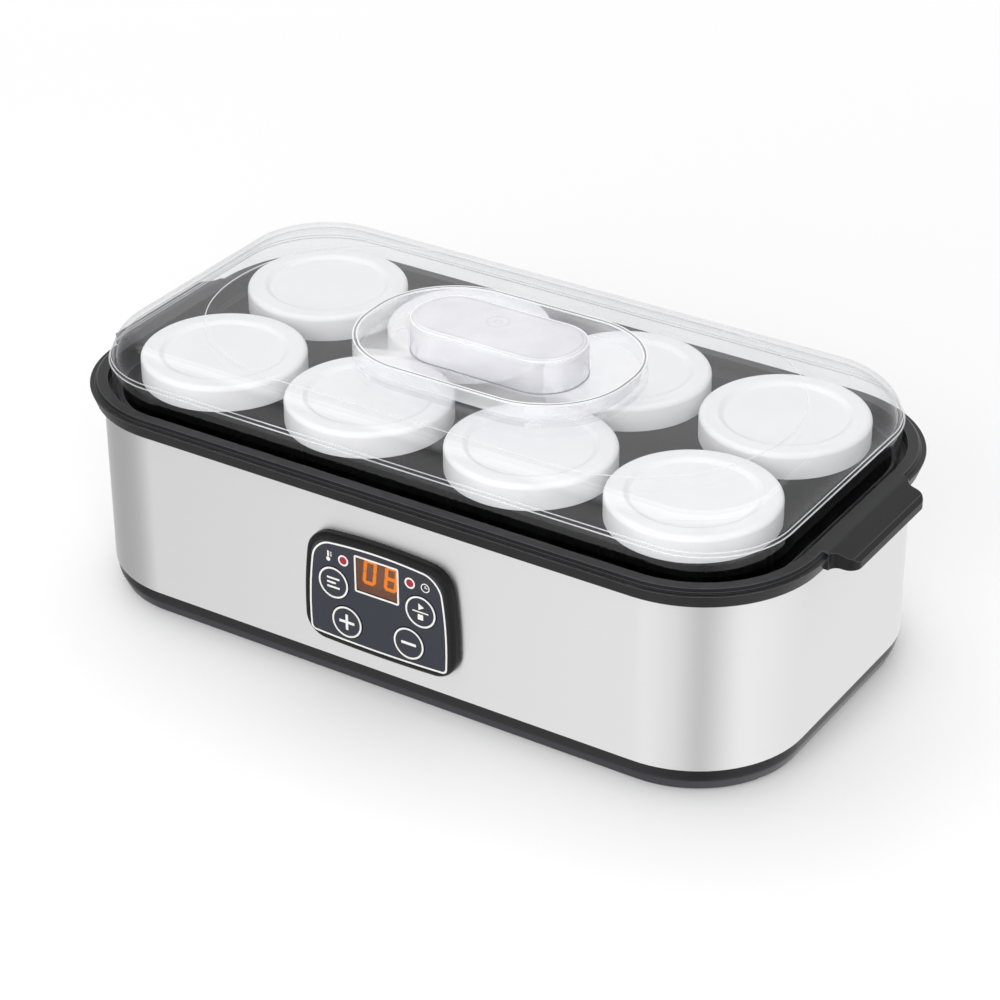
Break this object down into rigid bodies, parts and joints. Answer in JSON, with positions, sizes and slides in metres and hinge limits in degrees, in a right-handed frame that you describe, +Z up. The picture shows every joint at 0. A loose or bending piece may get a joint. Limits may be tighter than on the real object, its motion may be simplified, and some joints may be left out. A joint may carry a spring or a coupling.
{
  "type": "yogurt maker",
  "caption": "Box-shaped yogurt maker with a clear lift-off lid, lidded glass jars in a heated tub, a brushed steel body and a key panel with a display.",
  "frame": {"origin": "on the table under the middle of the object", "axes": "+X along the length to the right of the key panel, +Z up; the key panel faces -Y"},
  "size_m": [0.35, 0.1792, 0.1286],
  "materials": {
    "clear_plastic": "clear, polished",
    "satin_black_plastic": "satin, fine grain",
    "brushed_steel": "brushed along the length",
    "gloss_black_plastic": "glossy",
    "rubber": "matt",
    "slate_overlay": "satin film",
    "smoked_window": "polished",
    "display_case": "matt",
    "lamp_lens": "polished",
    "switch_plastic": "matt",
    "circuit_board": "solder mask",
    "zinc_screws": "zinc plated",
    "aluminium_plate": "mill finish",
    "silicone_heater": "matt silicone",
    "bright_sheet": "plain sheet",
    "sensor_capsule": "glazed",
    "relay_case": "moulded",
    "film_case": "moulded",
    "can_sleeve": "shrink sleeve",
    "terminal_plastic": "moulded",
    "jar_glass": "clear glass",
    "white_plastic": "satin white"
  },
  "bodies": {
    "main_body": {"upper_housing": "satin_black_plastic", "steel_sleeve": "brushed_steel", "base_pan": "gloss_black_plastic", "rubber_feet": "rubber", "control_bezel": "satin_black_plastic", "control_overlay": "slate_overlay", "display_window": "smoked_window", "display_module": "display_case", "indicator_lamps": "lamp_lens", "tact_switches": "switch_plastic", "control_board": "circuit_board", "control_board_screws": "zinc_screws", "heater_plate": "aluminium_plate", "heater_strip": "silicone_heater", "heat_shield": "bright_sheet", "heat_shield_screws": "zinc_screws", "temperature_sensor": "sensor_capsule", "thermal_fuse": "sensor_capsule", "power_board": "circuit_board", "power_board_screws": "zinc_screws", "relay": "relay_case", "film_capacitor": "film_case", "storage_capacitor": "can_sleeve", "terminal_block": "terminal_plastic", "base_screws": "zinc_screws", "cord_gland": "rubber", "jar_1": "jar_glass", "jar_2": "jar_glass", "jar_3": "jar_glass", "jar_4": "jar_glass", "jar_5": "jar_glass", "jar_6": "jar_glass", "jar_7": "jar_glass", "jar_8": "jar_glass"},
    "lid": {"lid": "clear_plastic"},
    "jar_lid_1": {"jar_lid_1": "white_plastic"},
    "jar_lid_2": {"jar_lid_2": "white_plastic"},
    "jar_lid_3": {"jar_lid_3": "white_plastic"},
    "jar_lid_4": {"jar_lid_4": "white_plastic"},
    "jar_lid_5": {"jar_lid_5": "white_plastic"},
    "jar_lid_6": {"jar_lid_6": "white_plastic"},
    "jar_lid_7": {"jar_lid_7": "white_plastic"},
    "jar_lid_8": {"jar_lid_8": "white_plastic"},
    "key_set": {"key_set": "slate_overlay"},
    "key_start": {"key_start": "slate_overlay"},
    "key_plus": {"key_plus": "slate_overlay"},
    "key_minus": {"key_minus": "slate_overlay"}
  },
  "joints": [
    {"name": "lid_lift", "type": "slide", "parent": "main_body", "child": "lid", "axis": [0, 0, 1], "range_m": [0, 0.15]},
    {"name": "jar_lid_1_twist", "type": "hinge", "parent": "main_body", "child": "jar_lid_1", "pos_m": [-0.1097, -0.0365, 0.0993], "axis": [0, 0, 1], "range_deg": [0, 90]},
    {"name": "jar_lid_2_twist", "type": "hinge", "parent": "main_body", "child": "jar_lid_2", "pos_m": [-0.0379, -0.0365, 0.0993], "axis": [0, 0, 1], "range_deg": [0, 90]},
    {"name": "jar_lid_3_twist", "type": "hinge", "parent": "main_body", "child": "jar_lid_3", "pos_m": [0.0379, -0.0365, 0.0993], "axis": [0, 0, 1], "range_deg": [0, 90]},
    {"name": "jar_lid_4_twist", "type": "hinge", "parent": "main_body", "child": "jar_lid_4", "pos_m": [0.1097, -0.0365, 0.0993], "axis": [0, 0, 1], "range_deg": [0, 90]},
    {"name": "jar_lid_5_twist", "type": "hinge", "parent": "main_body", "child": "jar_lid_5", "pos_m": [-0.1097, 0.0365, 0.0993], "axis": [0, 0, 1], "range_deg": [0, 90]},
    {"name": "jar_lid_6_twist", "type": "hinge", "parent": "main_body", "child": "jar_lid_6", "pos_m": [-0.0379, 0.0365, 0.0993], "axis": [0, 0, 1], "range_deg": [0, 90]},
    {"name": "jar_lid_7_twist", "type": "hinge", "parent": "main_body", "child": "jar_lid_7", "pos_m": [0.0379, 0.0365, 0.0993], "axis": [0, 0, 1], "range_deg": [0, 90]},
    {"name": "jar_lid_8_twist", "type": "hinge", "parent": "main_body", "child": "jar_lid_8", "pos_m": [0.1097, 0.0365, 0.0993], "axis": [0, 0, 1], "range_deg": [0, 90]},
    {"name": "key_set_press", "type": "slide", "parent": "main_body", "child": "key_set", "axis": [0, 1, 0], "range_m": [0, 0.0005], "stiffness_N_per_m": 900, "springref_m": -0.0008},
    {"name": "key_start_press", "type": "slide", "parent": "main_body", "child": "key_start", "axis": [0, 1, 0], "range_m": [0, 0.0005], "stiffness_N_per_m": 900, "springref_m": -0.0008},
    {"name": "key_plus_press", "type": "slide", "parent": "main_body", "child": "key_plus", "axis": [0, 1, 0], "range_m": [0, 0.0005], "stiffness_N_per_m": 900, "springref_m": -0.0008},
    {"name": "key_minus_press", "type": "slide", "parent": "main_body", "child": "key_minus", "axis": [0, 1, 0], "range_m": [0, 0.0005], "stiffness_N_per_m": 900, "springref_m": -0.0008}
  ]
}
